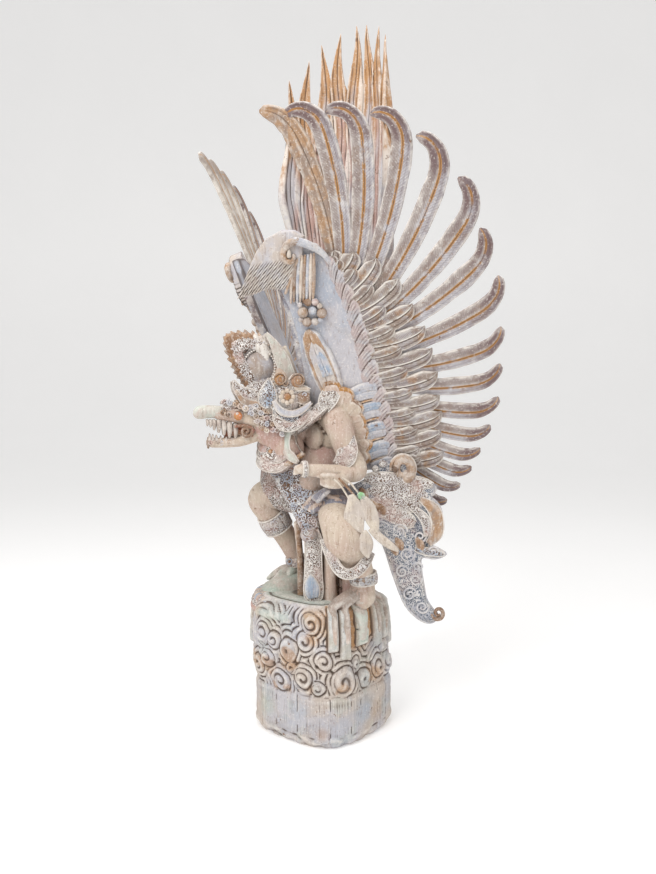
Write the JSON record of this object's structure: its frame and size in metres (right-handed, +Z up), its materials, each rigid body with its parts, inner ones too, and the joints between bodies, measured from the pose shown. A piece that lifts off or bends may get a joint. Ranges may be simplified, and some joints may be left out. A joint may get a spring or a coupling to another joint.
{
  "type": "painted wooden garuda statue",
  "caption": "Free-standing carved and painted wooden bird-headed guardian with spread wings, striding on a carved rock base; stands by its own weight.",
  "frame": {"origin": "centre of the base's flat underside", "axes": "+Z up, the figure's body faces -Y, its own left is +X"},
  "size_m": [0.9457, 0.646, 1.86],
  "materials": {
    "figure_wood": "carved softwood under thin limewashed paint in tan, blue-grey and mint, worn through to brown wood on edges and in hollows",
    "wing_paint": "carved wood under chalky lavender-grey paint, with worn ochre quills and plum-brown feather tips",
    "fan_paint": "carved wood under worn salmon and olive-ochre paint",
    "sash_paint": "carved wood under chalky blue-grey paint with ochre-brown rims"
  },
  "bodies": {
    "root": {"garuda_figure": "figure_wood", "left_wing": "wing_paint", "right_wing": "wing_paint", "tail_fan": "fan_paint", "left_sash_flare": "sash_paint", "right_sash_flare": "sash_paint"}
  },
  "joints": []
}
